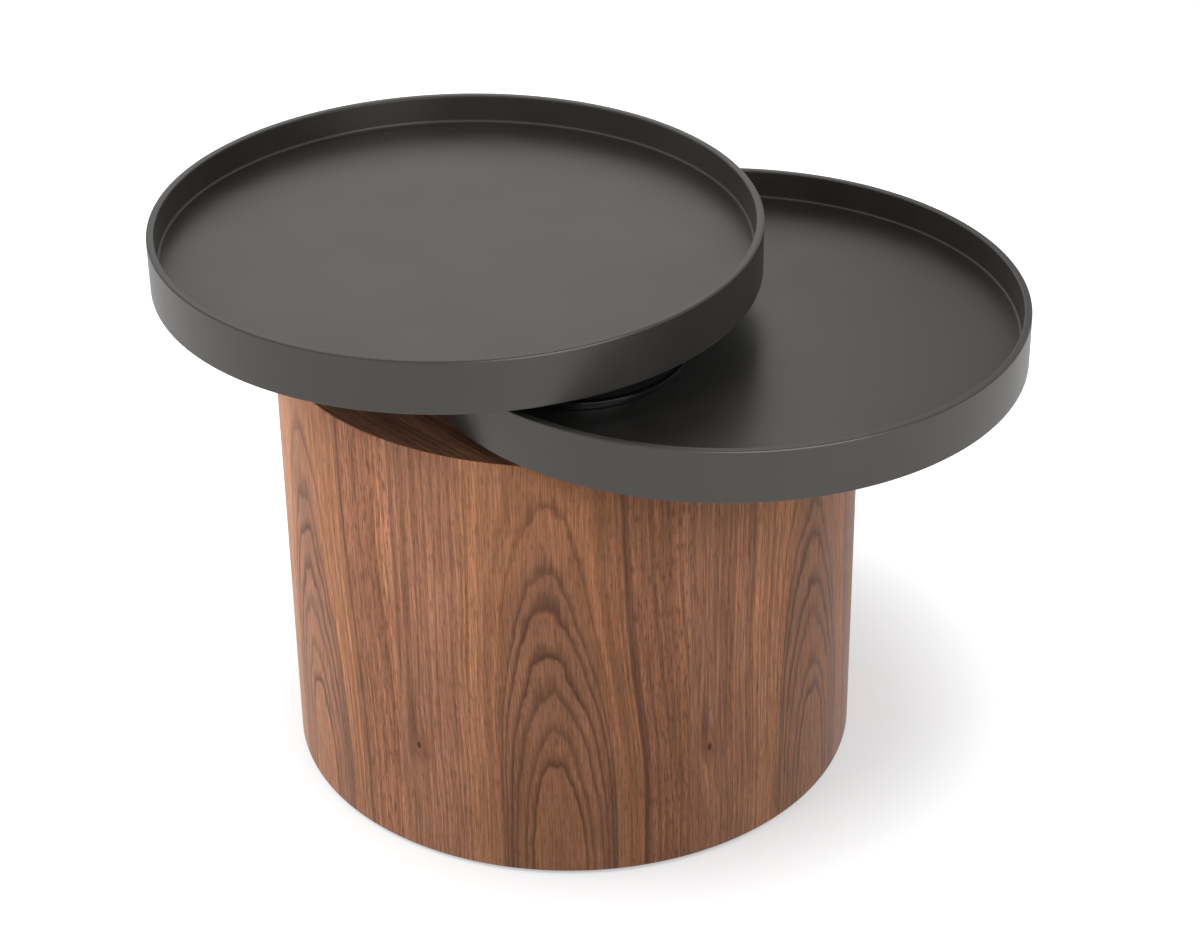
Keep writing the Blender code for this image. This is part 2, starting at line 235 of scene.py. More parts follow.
paper_finish = bpy.data.materials.new("white_paper")
paper_finish.use_nodes = True
tree = paper_finish.node_tree
tree.nodes.clear()
seen, mirrored = ray_shares(tree)
x, y, _ = sides_of(tree, place_on(tree))
# Painted shade: the paper's glow is weakest in a ring round the table, on top of the lamps' real shadows.
from_shade = length(tree, calc(tree, "SUBTRACT", x, SHADE_ASIDE), y, 0.0)
lift = band(tree, from_shade, *SHADE_EDGE, PAPER_LIFT, 1.0)
flat = node(tree, "BsdfDiffuse", {"Color": band(tree, seen, 0.0, 1.0, PAPER_BOUNCE, PAPER_SEEN)})
glow = node(tree, "Emission", {"Strength": calc(tree, "MULTIPLY_ADD", seen, lift, mirrored)})
node(tree, "OutputMaterial", (node(tree, "AddShader", (flat, glow)),))
paper_mesh.materials.append(paper_finish)

sky = bpy.data.worlds.new("studio")
sky.use_nodes = True
bpy.context.scene.world = sky
tree = sky.node_tree
background = tree.nodes["Background"]
background.inputs["Color"].default_value = (1, 1, 1, 1)
seen, mirrored = ray_shares(tree)
shine = band(tree, mirrored, 0.0, 1.0, SKY_LIGHT, SKY_SHEEN)
feed(tree, background.inputs["Strength"], calc(tree, "MAXIMUM", seen, shine))
print("paper at", round(paper_mesh.vertices[0].co.z, 4), "m, sky light", SKY_LIGHT)

# %% [markdown]
# Six wide lamps do the rest. The main one is on the left, because the drum is brightest there. A weaker
# one on the right and a low one in front keep those sides from going black, and two behind do the same
# for the back. The last one stands where the tray floors mirror it, and gives them their soft sheen. In
# the gloss of the trays the other lamps would be harsh spots, so reflections show only the sheen lamp and
# the front one, which draws the fine lines along rounded edges. A wide lamp gives a soft edge to every
# shadow, and a near one lights the drum's top more than its foot.

# %% Lamps
def softbox(name, bearing, height_angle, distance, size, power, mirrored=False):
    """A square lamp aimed at the table. Bearing 0 is in front and 90 on the right, in degrees."""
    turn, tilt = math.radians(bearing), math.radians(height_angle)
    flat_part = math.cos(tilt)
    away = Vector((math.sin(turn) * flat_part, -math.cos(turn) * flat_part, math.sin(tilt)))
    data = bpy.data.lights.new(name, "AREA")
    data.size = size
    data.energy = power
    lamp = add_object(name, data)
    lamp.visible_camera = False
    lamp.visible_glossy = mirrored
    place = Vector((0, 0, drum_top / 2)) + away * distance
    facing = away.to_track_quat("Z", "Y").to_matrix().to_4x4()
    lamp.matrix_world = Matrix.Translation(place) @ facing
    print(name, "at", [round(side, 2) for side in place])


softbox("left_softbox", bearing=-70, height_angle=42, distance=1.4, size=1.5, power=29.5)
softbox("right_softbox", bearing=85, height_angle=34, distance=1.3, size=0.9, power=5.6)
softbox("front_softbox", bearing=24, height_angle=30, distance=0.95, size=0.6, power=3.6, mirrored=True)
softbox("back_left_softbox", bearing=-150, height_angle=12, distance=1.6, size=0.8, power=6.0)
softbox("back_right_softbox", bearing=150, height_angle=12, distance=1.6, size=0.8, power=6.0)
softbox("sheen_softbox", bearing=183, height_angle=36, distance=2.2, size=1.2, power=2.45, mirrored=True)

# %% [markdown]
# ## Finishes
# A finish is a colour, a roughness and a relief. A plain grey paint looks like plastic, because no real
# coat is quite even: it has small shifts of tone and gloss, and a skin with a fine relief. So noise
# drives all three. It seldom strays from its middle, so what it drives is spread over that span. What is
# the same all over, such as how strongly a finish mirrors, is set straight on the shader.

# %% Helpers for finishes
NOISE_SPAN = (0.3, 0.7)
FACING_DOWN = (-0.9, -0.4)


def grain(tree, place, waves, detail=2.0):
    """Noise from 0 to 1 at a place, with so many waves to a metre."""
    return node(tree, "TexNoise", {"Vector": place, "Scale": waves, "Detail": detail})


def colour(*parts):
    """A colour picked in sRGB, 0 to 255, as the linear colour that a shader takes."""
    shares = [part / 255 for part in parts]
    return [s / 12.92 if s <= 0.04045 else ((s + 0.055) / 1.055) ** 2.4 for s in shares] + [1.0]


def blend(tree, share, under, over):
    """Lays one colour over another. A share of 1 is all of the upper one."""
    return node(tree, "Mix", {0: share, 6: under, 7: over}, data_type="RGBA").outputs[2]


def times_as_bright(tree, shade, times):
    """A colour made so many times as bright, which darkens it where that is below 1."""
    return node(tree, "VectorMath", {0: shade, "Scale": times}, operation="SCALE")


def tones(tree, share, *stops):
    """A run of colours, given as (place from 0 to 1, colour)."""
    made = node(tree, "ValToRGB", (share,))
    first, last = made.color_ramp.elements
    first.position, first.color = stops[0]
    last.position, last.color = stops[-1]
    for place, value in stops[1:-1]:
        made.color_ramp.elements.new(place).color = value
    return made


def new_finish(name, even=()):
    """A material with one Principled shader, whose even settings are put straight on its sockets."""
    material = bpy.data.materials.new(name)
    material.use_nodes = True
    shader = material.node_tree.nodes["Principled BSDF"]
    for socket, value in dict(even).items():
        shader.inputs[socket].default_value = value
    return material, material.node_tree, shader


def wire_finish(tree, shader, shade, roughness, height, depth):
    """Joins a finish's colour, roughness and relief, which is so many metres deep, to its shader."""
    bump = node(tree, "Bump", {"Strength": 1.0, "Distance": depth, "Height": height})
    feed(tree, shader.inputs["Base Color"], shade)
    feed(tree, shader.inputs["Roughness"], roughness)
    feed(tree, shader.inputs["Normal"], bump)


def coat(name, dark, light, roughness, waves, skin_waves, skin_depth, even=(), underside=None):
    """A paint, plating or plastic: its tone and gloss drift, and its skin has a fine relief."""
    finish, tree, shader = new_finish(name, even)
    place = node(tree, "TexCoord").outputs
    mottle = grain(tree, place["Object"], waves, detail=4.0)
    shade = tones(tree, mottle, *zip(NOISE_SPAN, (dark, light)))
    gloss = band(tree, mottle, *NOISE_SPAN, *roughness)
    if underside:
        upward = sides_of(tree, place["Normal"])["Z"]
        gloss = band(tree, upward, *FACING_DOWN, underside, gloss)
    skin = grain(tree, place["Object"], skin_waves)
    wire_finish(tree, shader, shade, gloss, skin, skin_depth)
    return finish


def dress(finish, *solids):
    """Gives a finish to solids that stay as they are."""
    for name in solids:
        frame["nodes"][name].material_slots[0].material = finish
    print(finish.name, "on", ", ".join(solids))


print("finishes spread noise from", *NOISE_SPAN)

# %% [markdown]
# ## Turning a piece
# The drum, the trays and the bearing rings are all round, so one way makes them all: a few points give
# half of the piece's section, and a spin carries them round. A lathe leaves no sharp corner and neither
# does paint, so every hard edge is eased with a small bevel. Shading stays crisp at the bevel, so that
# flat walls look flat.

# %% Helpers for turned pieces
TURN_STEPS = 256
SAME_SPOT = 1e-6
SAME_EDGE = 1e-5
HARD_ANGLE = math.radians(35)
CRISP_ANGLE = math.radians(10)


def turn_outline(outline, centre, steps=TURN_STEPS):
    """A bmesh from (radius, height) points. An outline that starts on the axis isn't joined up."""
    bm = bmesh.new()
    verts = [bm.verts.new((centre.x + radius, centre.y, height)) for radius, height in outline]
    pairs = list(zip(verts, verts[1:]))
    if outline[0][0] > 0:
        pairs.append((verts[-1], verts[0]))
    edges = [bm.edges.new(pair) for pair in pairs]
    bmesh.ops.spin(
        bm,
        geom=verts + edges,
        cent=centre,
        axis=(0, 0, 1),
        angle=2 * math.pi,
        steps=steps,
        use_merge=True,
    )
    bmesh.ops.remove_doubles(bm, verts=bm.verts, dist=SAME_SPOT)
    bmesh.ops.recalc_face_normals(bm, faces=bm.faces)
    return bm


def section_spot(edge, centre):
    """The radius and the height at which an edge runs round a turned piece."""
    spot = edge.verts[0].co
    return Vector(((spot - centre).xy.length, spot.z))


def ease(bm, size, segments=3, chosen=lambda edge: True):
    """Rounds the hard edges that are chosen."""
    hard = [e for e in bm.edges if e.calc_face_angle(0.0) > HARD_ANGLE and chosen(e)]
    bmesh.ops.bevel(
        bm,
        geom=hard,
        offset=size,
        offset_type="OFFSET",
        segments=segments,
        profile=0.5,
        affect="EDGES",
        material=-1,
    )


def finished_piece(name, bm, finish, body, slot, *stands_for):
    """Makes an object of a bmesh, hangs it on its body and hides the solids that it stands for."""
    mesh = mesh_of(name, bm)
    mesh.shade_smooth()
    mesh.set_sharp_from_angle(angle=CRISP_ANGLE)
    mesh.materials.append(finish)
    piece = add_object(name, mesh)
    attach(piece, body)
    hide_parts(*stands_for)
    print(name, len(mesh.polygons), "faces,", [round(1000 * side) for side in piece.dimensions], "mm")


print("a full turn takes", TURN_STEPS, "steps")

# %% [markdown]
# ## Walnut veneer
# Veneer is sliced from a log, and the leaves lie side by side in the order in which they were cut, so the
# same figure comes again every ten inches round the drum. A photo of wood could be wrapped round it, but
# a sum does it better. A tree's rings are nested tubes. A slice that runs at a slant through them shows
# each tube as a tall arch, and those arches are the cathedral figure. So the finish works out how deep in
# the log each point lies. Near the middle of a leaf that is the distance from a slanting line. Further
# out the rings stand on edge and crowd together as straight grain, so there the depth grows faster. Slow
# noise makes the grain sway, faster noise makes the arches jog, and the fibres feather their edges.

# %% Depth in the log
LEAF_WIDTH = 0.2545
LEAF_DRIFT = 0.03
CATHEDRAL_AT = 0.137
SLANT = 0.19
SHOULDER = 0.047
SHOULDER_BLEND = 0.02
CROWDING = 4.0
KNOT_ACROSS = 0.018
KNOT_ALONG = 0.108
KNOT_STRETCH = 0.55
KNOT_REACH = 0.020
KNOT_PUSH = 0.003
KNOT_HALF = 0.004
LEAN_HEIGHTS, LEAN_SIDE = (0.0, 0.35), (-0.005, 0.003)
NARROW_HEIGHTS, NARROW = (0.10, 0.32), (0.95, 1.4)
SLOW_STRETCH, SWAY_WAVES, SWAY = 0.45, 14.0, 0.008
JOG_WAVES, JOG = 60.0, 0.044
FIBRE_STRETCH, FIBRE_WAVES, FEATHER = 0.02, 900.0, 0.008


def drawn_out(tree, across, along, stretch, drift):
    """A place for noise whose marks are long and narrow, and which differs from leaf to leaf."""
    return node(tree, "CombineXYZ", (across, calc(tree, "MULTIPLY", along, stretch), drift))


def wander(tree, noise, reach):
    """Turns noise into a shift of up to half the reach either way."""
    return calc(tree, "MULTIPLY_ADD", noise, reach, -reach / 2)


def near_knot(tree, across, along, stretch=KNOT_STRETCH):
    """The distance from the pin knot, which is drawn out along the grain."""
    beside = calc(tree, "SUBTRACT", across, KNOT_ACROSS)
    above = calc(tree, "MULTIPLY", calc(tree, "SUBTRACT", along, KNOT_ALONG), stretch)
    return length(tree, beside, above, 0.0)


def knot_push(tree, across, along):
    """How far the grain gives way on either side of the knot."""
    push = band(tree, near_knot(tree, across, along), 0.0, KNOT_REACH, KNOT_PUSH, 0.0)
    way = band(tree, across, KNOT_ACROSS - KNOT_HALF, KNOT_ACROSS + KNOT_HALF, 1.0, -1.0)
    return calc(tree, "MULTIPLY", push, way)


def log_depth(tree, across, along, leaf):
    """The depth in the log, below 0 on the left of the cathedral, and what else draws the figure.

    That is the place across the fibres, their noise, the place for slow noise and the leaf's drift.
    """
    drift = calc(tree, "MULTIPLY", leaf, LEAF_DRIFT)
    aside = calc(tree, "SUBTRACT", across, CATHEDRAL_AT)
    slow = drawn_out(tree, aside, along, SLOW_STRETCH, drift)
    sway = wander(tree, grain(tree, slow, SWAY_WAVES), SWAY)
    lean = band(tree, along, *LEAN_HEIGHTS, *LEAN_SIDE)
    shift = calc(tree, "ADD", lean, knot_push(tree, across, along))
    fibre = calc(tree, "ADD", calc(tree, "ADD", aside, sway), shift)

    side = calc(tree, "ABSOLUTE", fibre)
    crowd = calc(tree, "SMOOTH_MAX", calc(tree, "SUBTRACT", side, SHOULDER), 0.0, SHOULDER_BLEND)
    near = calc(tree, "SUBTRACT", side, crowd)
    near = calc(tree, "MULTIPLY", near, band(tree, along, *NARROW_HEIGHTS, *NARROW))
    arm = calc(tree, "MULTIPLY_ADD", crowd, CROWDING, near)

    fibres = grain(tree, drawn_out(tree, fibre, along, FIBRE_STRETCH, drift), FIBRE_WAVES)
    jog = wander(tree, grain(tree, slow, JOG_WAVES, detail=3.0), JOG)
    ragged = calc(tree, "ADD", jog, wander(tree, fibres, FEATHER))
    rise = calc(tree, "MULTIPLY", calc(tree, "ADD", along, ragged), SLANT)
    depth = calc(tree, "MULTIPLY", length(tree, arm, rise, 0.0), calc(tree, "SIGN", fibre))
    return depth, fibre, fibres, slow, drift


print("a leaf of veneer is", 1000 * LEAF_WIDTH, "mm wide")

# %% [markdown]
# The depth then gives the colour. Each late ring is a dark line, sharp towards the heart and soft on its
# other side. The leaf's left half is pinkish and its middle greyer. Both are runs of colour over the
# depth, in millimetres.

# %% Rings and tones of a leaf
RINGS_MM = (
    (21.0, 0.95),
    (26.5, 0.7),
    (35.0, 0.75),
    (41.7, 1.0),
    (50.2, 1.0),
    (56.2, 0.8),
    (68.6, 0.6),
    (151.0, 0.6),
)
RINGS_END_MM = 160
RING_SECTION_MM = ((-0.6, 0.0), (0.2, 1.0), (3.4, 0.0))
RING_FADE_WAVES, RING_FADE_NOISE, RING_FADE = 30.0, (0.35, 0.65), (0.7, 1.0)
PINK = colour(167, 117, 91)
GOLD = colour(181, 127, 94)
HEART = colour(151, 105, 80)
CORE = colour(162, 111, 82)
ORANGE = colour(168, 115, 83)
BROWN = colour(153, 104, 78)
DARK = colour(122, 83, 63)
LEAF_TONES_MM = (
    (-420, PINK),
    (-190, PINK),
    (-150, GOLD),
    (-90, GOLD),
    (-66, ORANGE),
    (-57, HEART),
    (-34, HEART),
    (-22, CORE),
    (22, CORE),
    (34, HEART),
    (57, HEART),
    (66, ORANGE),
    (138, ORANGE),
    (145, DARK),
    (152, DARK),
    (160, BROWN),
    (300, BROWN),
    (312, ORANGE),
    (340, PINK),
)


def ring_lines(tree, depth, slow):
    """How dark the late rings are, from 0 to 1, a little faded here and there."""
    stops = [
        ((deep + step) / RINGS_END_MM, [dark * share] * 3 + [1.0])
        for deep, dark in RINGS_MM
        for step, share in RING_SECTION_MM
    ]
    lines = tones(tree, calc(tree, "MULTIPLY", depth, 1000 / RINGS_END_MM), *stops)
    fade = band(tree, grain(tree, slow, RING_FADE_WAVES), *RING_FADE_NOISE, *RING_FADE)
    return calc(tree, "MULTIPLY", lines, fade)


def leaf_tone(tree, depth):
    """The colour of the wood between the rings, from the left of a leaf to its right."""
    first, last = LEAF_TONES_MM[0][0], LEAF_TONES_MM[-1][0]
    share = calc(tree, "DIVIDE", calc(tree, "ADD", depth, -first / 1000), (last - first) / 1000)
    return tones(tree, share, *(((deep - first) / (last - first), tone) for deep, tone in LEAF_TONES_MM))


print("walnut:", len(RINGS_MM), "dark rings in the cathedral")

# %% [markdown]
# Between the rings lie streaks that follow them, fibres that run straight up, and pores, the short dark
# dashes that make walnut look like walnut. A pin knot stands in the same place on every leaf, with a dark
# flame over it. Leaves are cut from one log one after the other, so they are alike, but the one on the
# left is made 1.2 times as bright as the rest.

# %% Walnut figure
STREAK_STRETCH, STREAK_WAVES = 0.03, 80.0
STRAIGHT_GRAIN, STREAK_LIGHT = (0.015, 0.050), (0.07, 0.31)
STREAK_RELIEF = 0.5
HALF_BLEND, HALF_SHIFT = 0.03, 0.05
PORE_STRETCH, PORE_WAVES, PORE_NOISE = 0.10, 850.0, (0.48, 0.70)
DENSE_DEPTH, PORE_SHARE = (0.135, 0.165), (0.38, 0.6)
CLOUD_WAVES, CLOUD = 20.0, (0.92, 1.08)
FIBRE_LIGHT = (0.77, 1.23)
EVEN_LIGHT = 1.05
PALE_LEAF, PALER = 1, 1.2
PATCH_EDGE, PATCH_SHARE = (0.003, KNOT_REACH), 0.45
FLAME_ASIDE, FLAME_ABOVE, FLAME_STRETCH = 0.0045, 0.030, 0.12
FLAME_EDGE, FLAME_SHARE = (0.0, 0.0060), 0.65
DOT_EDGE, DOT_SHARE = (0.0010, 0.0030), 0.8
RING_DARK = colour(80, 54, 43)
PORE_DARK = colour(84, 55, 42)
PATCH_BROWN = colour(110, 70, 52)
FLAME_DARK = colour(92, 60, 47)
DOT_DARK = colour(40, 26, 20)
GLOSS_NOISE, SATIN_ROUGHNESS = (0.2, 0.8), (0.42, 0.56)


def leaf_light(tree, leaf, fibre, fibres, slow, streaks):
    """How bright the wood is: streaks where the grain is straight, fibres, clouds and the pale leaf."""
    side = calc(tree, "ABSOLUTE", fibre)
    strength = band(tree, side, *STRAIGHT_GRAIN, *STREAK_LIGHT)
    streak_light = band(tree, streaks, *NOISE_SPAN, -1.0, 1.0)
    light = calc(tree, "MULTIPLY_ADD", streak_light, strength, EVEN_LIGHT)
    light = calc(tree, "MULTIPLY", light, band(tree, fibres, *NOISE_SPAN, *FIBRE_LIGHT))
    cloud = grain(tree, slow, CLOUD_WAVES)
    light = calc(tree, "MULTIPLY", light, band(tree, cloud, *NOISE_SPAN, *CLOUD))
    other_leaf = calc(tree, "ABSOLUTE", calc(tree, "SUBTRACT", leaf, PALE_LEAF))
    return calc(tree, "MULTIPLY", light, band(tree, other_leaf, 0.4, 0.6, PALER, 1.0))


def with_knot(tree, shade, across, along):
    """Lays the pin knot over the wood: a brown patch, a flame and a dark dot."""
    knot = near_knot(tree, across, along)
    flame_across = calc(tree, "ADD", across, FLAME_ASIDE)
    flame_along = calc(tree, "SUBTRACT", along, FLAME_ABOVE)
    flame = near_knot(tree, flame_across, flame_along, FLAME_STRETCH)
    shade = blend(tree, band(tree, knot, *PATCH_EDGE, PATCH_SHARE, 0.0), shade, PATCH_BROWN)
    shade = blend(tree, band(tree, flame, *FLAME_EDGE, FLAME_SHARE, 0.0), shade, FLAME_DARK)
    return blend(tree, band(tree, knot, *DOT_EDGE, DOT_SHARE, 0.0), shade, DOT_DARK)


def walnut(tree, across, along, leaf):
    """Colour, roughness and relief of walnut, across from a leaf's left edge and along from its foot."""
    depth, fibre, fibres, slow, drift = log_depth(tree, across, along, leaf)
    from_heart = calc(tree, "ABSOLUTE", depth)
    half = calc(tree, "ADD", drift, band(tree, fibre, -HALF_BLEND, HALF_BLEND, 0.0, HALF_SHIFT))
    streak_place = drawn_out(tree, from_heart, along, STREAK_STRETCH, half)
    streaks = grain(tree, streak_place, STREAK_WAVES, detail=4.0)
    pore_place = drawn_out(tree, fibre, along, PORE_STRETCH, drift)
    pores = band(tree, grain(tree, pore_place, PORE_WAVES, detail=1.0), *PORE_NOISE)

    light = leaf_light(tree, leaf, fibre, fibres, slow, streaks)
    shade = times_as_bright(tree, leaf_tone(tree, depth), light)
    shade = blend(tree, ring_lines(tree, from_heart, slow), shade, RING_DARK)
    shown = band(tree, depth, *DENSE_DEPTH, *PORE_SHARE)
    shade = blend(tree, calc(tree, "MULTIPLY", pores, shown), shade, PORE_DARK)
    shade = with_knot(tree, shade, across, along)

    relief = calc(tree, "SUBTRACT", calc(tree, "MULTIPLY", streaks, STREAK_RELIEF), pores)
    return shade, band(tree, streaks, *GLOSS_NOISE, *SATIN_ROUGHNESS), relief


print("walnut pores:", PORE_WAVES, "waves to a metre")

# %% [markdown]
# On the drum's side the grain stands upright, so the sum takes the way round the drum as across and the
# height as along. Six leaves don't quite reach round, so a narrow strip of a seventh closes the gap at
# the back. On the drum's top the veneer lies flat, and its grain runs slantwise to the front, so there a
# Mapping node turns the place first. The top's colour is darkened to less than half of the side's. That
# is painted shade for the deep shade that the trays keep it in. The top also mirrors less.

# %% Walnut for the side and for the top
FIRST_LEAF_EDGE = -0.672
TOP_GRAIN_TURN = math.radians(50)
TOP_LEAVES_ASIDE = 4
TOP_ALONG = 0.2
TOP_PAINTED_SHADE = 0.42
VENEER_RELIEF = 0.00006
SATIN = {"Specular IOR Level": 0.2}
DULL_SATIN = {"Specular IOR Level": 0.06}


def leaves(tree, distance):
    """Splits a distance into the place across a leaf and that leaf's number."""
    count = calc(tree, "DIVIDE", distance, LEAF_WIDTH)
    across = calc(tree, "MULTIPLY", calc(tree, "FRACT", count), LEAF_WIDTH)
    return across, calc(tree, "FLOOR", count)


side_walnut, tree, shader = new_finish("walnut_upright", SATIN)
x, y, z = sides_of(tree, place_on(tree))
bearing = calc(tree, "ARCTAN2", x, calc(tree, "MULTIPLY", y, -1.0))
past_edge = calc(tree, "SUBTRACT", bearing, FIRST_LEAF_EDGE / drum_radius)
turned = calc(tree, "FLOORED_MODULO", past_edge, 2 * math.pi)
across, leaf = leaves(tree, calc(tree, "MULTIPLY", turned, drum_radius))
along = calc(tree, "SUBTRACT", z, drum_foot)
wire_finish(tree, shader, *walnut(tree, across, along, leaf), VENEER_RELIEF)

top_walnut, tree, shader = new_finish("walnut_flat", DULL_SATIN)
turned = node(tree, "Mapping", {"Vector": place_on(tree), "Rotation": (0, 0, TOP_GRAIN_TURN)})
along, cross, _ = sides_of(tree, turned)
across, leaf = leaves(tree, calc(tree, "ADD", cross, TOP_LEAVES_ASIDE * LEAF_WIDTH))
shade, roughness, relief = walnut(tree, across, calc(tree, "ADD", along, TOP_ALONG), leaf)
# Painted shade: the top's colour is darkened for the trays' shade over it.
shade = times_as_bright(tree, shade, TOP_PAINTED_SHADE)
wire_finish(tree, shader, shade, roughness, relief, VENEER_RELIEF)
print("walnut finishes:", side_walnut.name, top_walnut.name)

# %% [markdown]
# ## Drum
# The drum's shell is bent plywood under veneer, with a rebate round its top that the top panel drops
# into, so only a thin lip of veneer shows round the panel. The shell is turned from its section. The top
# panel's solid is already right, a flat disc with its screw holes, so it stays and only gets the veneer.

# %% Drum shell and top panel
EASED_VENEER = 0.0010
SEAT_GAP = 0.0003

shell_inside = radius_of("top_former") + SEAT_GAP
rebate = radius_of("drum_top_panel") + SEAT_GAP
ledge = levels("drum_top_panel")[0] - SEAT_GAP
drum_middle = middle("drum_shell")
bm = turn_outline(
    [
        (shell_inside, drum_foot),
        (drum_radius, drum_foot),
        (drum_radius, drum_top),
        (rebate, drum_top),
        (rebate, ledge),
        (shell_inside, ledge),
    ],
    drum_middle,
)
ease(bm, EASED_VENEER, chosen=lambda edge: section_spot(edge, drum_middle).x > drum_radius - SAME_EDGE)
finished_piece("walnut_shell", bm, side_walnut, "drum", "walnut_veneer", "drum_shell")
dress(top_walnut, "drum_top_panel")
print(f"veneer lip {1000 * (drum_radius - rebate):.1f} mm round the top panel")

# %% [markdown]
# ## Charcoal lacquer and trays
# The trays are sprayed with a matt charcoal lacquer that mirrors the white room softly at a low angle. A
# tray is a flat floor in an upright rim, and the lacquer runs from the one to the other in a small cove,
# which catches a fine line of light. The rim is turned with a thin foot on the floor, and a bevel in the
# corner between them makes that cove. The floor's own solid is right and stays. An underside gets one dry
# coat, so it is rough and mirrors nothing.

# %% Tray rims and floors
EASED_RIM = 0.0014
COVE = 0.0022
FOOT_THICK = 0.0003
FOOT_WIDE = 1.2 * COVE
ROUND_STEPS = 4

lacquer = coat(
    "charcoal_lacquer",
    colour(30, 29, 28),
    colour(36, 35, 34),
    roughness=(0.34, 0.38),
    waves=14.0,
    skin_waves=900.0,
    skin_depth=0.00002,
    even={"Specular IOR Level": 0.92, "Specular Tint": (1.0, 0.95, 0.88, 1.0)},
    underside=0.85,
)


def tray(body):
    """A tray's rim with its cove, in the place of the rim's solid."""
    centre = middle(f"{body}_rim")
    bottom, top = levels(f"{body}_rim")
    floor_top = levels(f"{body}_floor")[1]
    inside = radius_of(f"{body}_floor") + SEAT_GAP
    foot_top = floor_top + FOOT_THICK
    bm = turn_outline(
        [
            (inside, bottom),
            (tray_radius, bottom),
            (tray_radius, top),
            (inside, top),
            (inside, foot_top),
            (inside - FOOT_WIDE, foot_top),
            (inside - FOOT_WIDE, floor_top),
            (inside, floor_top),
        ],
        centre,
    )
    corner = Vector((inside, foot_top))

    def in_corner(edge):
        return (section_spot(edge, centre) - corner).length < SAME_EDGE

    def on_top_or_outside(edge):
        radius, height = section_spot(edge, centre)
        return height > top - SAME_EDGE or radius > tray_radius - SAME_EDGE

    ease(bm, COVE, ROUND_STEPS, in_corner)
    ease(bm, EASED_RIM, ROUND_STEPS, on_top_or_outside)
    finished_piece(f"{body}_wall", bm, lacquer, body, "charcoal_lacquer", f"{body}_rim")


tray("lower_tray")
tray("upper_tray")
dress(lacquer, "lower_tray_floor", "upper_tray_floor")

# %% [markdown]
# ## Ring bearings
# Under each tray lies a ring bearing: two steel rings with a vee groove each, and between them balls in a
# nylon hoop. A flange of the upper one shows under the upper tray as a black, shiny arc. Its edge is
# rolled, not cut, so the outer rings are turned anew with a round edge, and a coat of gloss black drives
# the shine.

# %% Outer rings
LAND_RADIUS = 0.0773
HUB_RADIUS = 0.0816
RACE_RADIUS = 0.0801
FLANGE_RADIUS = 0.0934
FLANGE_THICK = 0.003
FLANGE_ROUND = 0.0004
FLANGE_ROUND_STEPS = 5
RING_RUN = 0.0008
HALF_BEARING = 0.0065

black_steel = coat(
    "black_steel",
    colour(13, 13, 14),
    colour(18, 18, 19),
    roughness=(0.10, 0.16),
    waves=60.0,
    skin_waves=1500.0,
    skin_depth=0.000005,
    even={"Specular IOR Level": 0.45},
)


def outer_ring(name, body):
    """A flanged ring with its groove, in the place of its solid."""
    low, high = levels(name)
    ball_level = low - RING_RUN + HALF_BEARING
    mouth = RACE_RADIUS - LAND_RADIUS
    bm = turn_outline(
        [
            (LAND_RADIUS, low),
            (HUB_RADIUS, low),
            (HUB_RADIUS, high - FLANGE_THICK),
            (FLANGE_RADIUS, high - FLANGE_THICK),
            (FLANGE_RADIUS, high),
            (LAND_RADIUS, high),
            (LAND_RADIUS, ball_level + mouth),
            (RACE_RADIUS, ball_level),
            (LAND_RADIUS, ball_level - mouth),
        ],
        pivot,
    )

    def on_flange(edge):
        return section_spot(edge, pivot).x > FLANGE_RADIUS - SAME_EDGE

    ease(bm, FLANGE_ROUND, FLANGE_ROUND_STEPS, on_flange)
    finished_piece(f"{name}_turned", bm, black_steel, body, "black_steel", name)


outer_ring("lower_outer_ring", "lower_tray")
outer_ring("upper_outer_ring", "upper_tray")
dress(black_steel, "lower_inner_ring", "upper_inner_ring")

# %% [markdown]
# The balls in the solids are coarse, and one with their hoop. Here each cage is two pieces, so that the
# balls can be polished steel and the hoop moulded nylon. A ball is a real sphere, so a sphere with enough
# facets to look round is just right for it. The upper cage is turned with the lower tray under it.

# %% Ball cages
BALL_CIRCLE = 0.076
BALL_RADIUS = 0.0025
BALL_COUNT = 10
FIRST_BALL = math.radians(3.75)
LOWER_OPEN = math.radians(-66)
HOOP_THICK = 0.0012
HOOP_HALF_HEIGHT = 0.0015
HOOP_EASE = 0.0003
HOOP_STEPS = 128

nylon = coat(
    "cage_nylon",
    colour(146, 146, 143),
    colour(154, 154, 152),
    roughness=(0.42, 0.52),
    waves=120.0,
    skin_waves=2500.0,
    skin_depth=0.00001,
)
ball_steel = coat(
    "ball_steel",
    colour(186, 186, 184),
    colour(196, 196, 195),
    roughness=(0.08, 0.14),
    waves=300.0,
    skin_waves=4000.0,
    skin_depth=0.000002,
    even={"Metallic": 1.0},
)


def ball_cage(body, solid, turn):
    """A hoop and its balls, both in the place of one solid."""
    low, high = levels(solid)
    ball_level = (low + high) / 2
    outline = [
        (BALL_CIRCLE + HOOP_THICK * side, ball_level + HOOP_HALF_HEIGHT * height)
        for side, height in ((-0.5, -1), (0.5, -1), (0.5, 1), (-0.5, 1))
    ]
    bm = turn_outline(outline, pivot, HOOP_STEPS)
    ease(bm, HOOP_EASE, segments=2)
    finished_piece(f"{body}_hoop", bm, nylon, body, "cage_nylon", solid)

    bm = bmesh.new()
    for number in range(BALL_COUNT):
        angle = turn + FIRST_BALL + number * 2 * math.pi / BALL_COUNT
        outward = Vector((math.cos(angle), math.sin(angle), 0))
        place = Matrix.Translation(pivot + BALL_CIRCLE * outward + Vector((0, 0, ball_level)))
        bmesh.ops.create_uvsphere(bm, u_segments=24, v_segments=14, radius=BALL_RADIUS, matrix=place)
    finished_piece(f"{body}_balls", bm, ball_steel, body, "zinc_steel", solid)


ball_cage("lower_cage", "lower_ball_cage", 0.0)
ball_cage("upper_cage", "upper_ball_cage", LOWER_OPEN)

